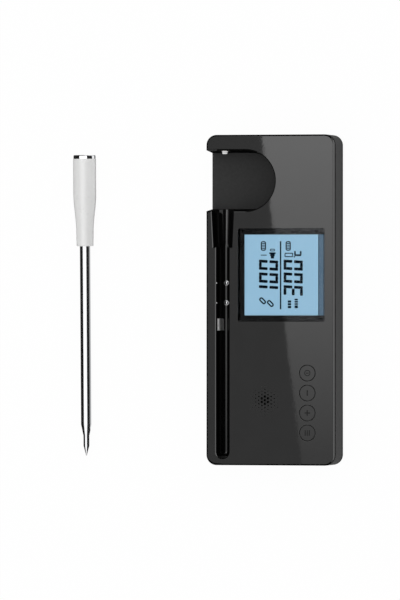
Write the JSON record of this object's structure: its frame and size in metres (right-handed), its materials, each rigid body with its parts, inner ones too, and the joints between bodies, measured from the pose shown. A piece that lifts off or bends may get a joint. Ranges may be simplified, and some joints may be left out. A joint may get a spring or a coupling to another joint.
{
  "type": "wireless meat thermometer",
  "caption": "Wireless meat thermometer: a steel probe with a ceramic handle lies beside its slim black charging base, which has a dock channel, a lit display and round buttons.",
  "frame": {"origin": "middle of the base's flat back", "axes": "+Z out of the display's face, +Y along the base towards the hook end, +X to the right as seen from the front, away from the resting probe"},
  "size_m": [0.1177, 0.141, 0.018],
  "materials": {
    "gloss_black": "polished black",
    "satin_black": "fine satin black",
    "clear_lens": "clear, polished",
    "frame_black": "matt black",
    "display_blue": "pale blue, lit from behind",
    "light_guide": "milky, clear edge",
    "contact_strip": "soft silicone",
    "board_green": "lacquered",
    "part_black": "moulded",
    "part_white": "moulded",
    "sheet_steel": "plated sheet",
    "speaker_metal": "dark",
    "cell_foil": "satin foil",
    "gold_brass": "gold plated",
    "spring_steel": "drawn wire",
    "bright_contact": "polished",
    "magnet_nickel": "nickel plated",
    "screw_steel": "plated",
    "screw_black": "blackened",
    "ceramic_white": "glazed white",
    "probe_steel": "polished steel",
    "seal_rubber": "silicone",
    "bead_brown": "dipped resin"
  },
  "bodies": {
    "base": {"front_panel": "gloss_black", "housing": "satin_black", "back_cover": "satin_black", "display_lens": "clear_lens", "lcd_frame": "frame_black", "lcd_glass": "display_blue", "backlight": "light_guide", "lcd_connector": "contact_strip", "main_board": "board_green", "control_chip": "part_black", "radio_module": "sheet_steel", "button_switches": "part_black", "speaker": "speaker_metal", "battery": "cell_foil", "usb_port": "sheet_steel", "charge_pin_barrel": "gold_brass", "charge_spring": "spring_steel", "contact_saddle": "bright_contact", "dock_magnets": "bright_contact", "detent_balls": "bright_contact", "back_magnets": "magnet_nickel", "board_screws": "screw_steel", "back_screws": "screw_black"},
    "charge_pin": {"charge_pin": "bright_contact"},
    "power_button": {"power_button": "gloss_black", "power_plunger": "part_white"},
    "minus_button": {"minus_button": "gloss_black", "minus_plunger": "part_white"},
    "plus_button": {"plus_button": "gloss_black", "plus_plunger": "part_white"},
    "menu_button": {"menu_button": "gloss_black", "menu_plunger": "part_white"},
    "probe": {"probe_cap": "bright_contact", "probe_handle": "ceramic_white", "probe_shaft": "probe_steel", "probe_tip": "probe_steel", "probe_seal": "seal_rubber", "probe_board": "board_green", "probe_cell": "cell_foil", "meat_sensor": "bead_brown", "ambient_sensor": "bead_brown", "probe_antenna": "gold_brass"}
  },
  "joints": [
    {"name": "power_press", "type": "slide", "parent": "base", "child": "power_button", "axis": [0, 0, -1], "range_m": [0, 0.0005], "stiffness_N_per_m": 2000, "springref_m": -0.0003},
    {"name": "minus_press", "type": "slide", "parent": "base", "child": "minus_button", "axis": [0, 0, -1], "range_m": [0, 0.0005], "stiffness_N_per_m": 2000, "springref_m": -0.0003},
    {"name": "plus_press", "type": "slide", "parent": "base", "child": "plus_button", "axis": [0, 0, -1], "range_m": [0, 0.0005], "stiffness_N_per_m": 2000, "springref_m": -0.0003},
    {"name": "menu_press", "type": "slide", "parent": "base", "child": "menu_button", "axis": [0, 0, -1], "range_m": [0, 0.0005], "stiffness_N_per_m": 2000, "springref_m": -0.0003},
    {"name": "pin_press", "type": "slide", "parent": "base", "child": "charge_pin", "axis": [0, 1, 0], "range_m": [0, 0.001], "stiffness_N_per_m": 600, "springref_m": -0.0005, "deforming": ["charge_spring"]},
    {"name": "probe_dock", "type": "hinge", "parent": "base", "child": "probe", "pos_m": [-0.05389, 0, 0.01553], "axis": [0.003, 0.9999, 0.0134], "range_deg": [0, 205.24]}
  ]
}
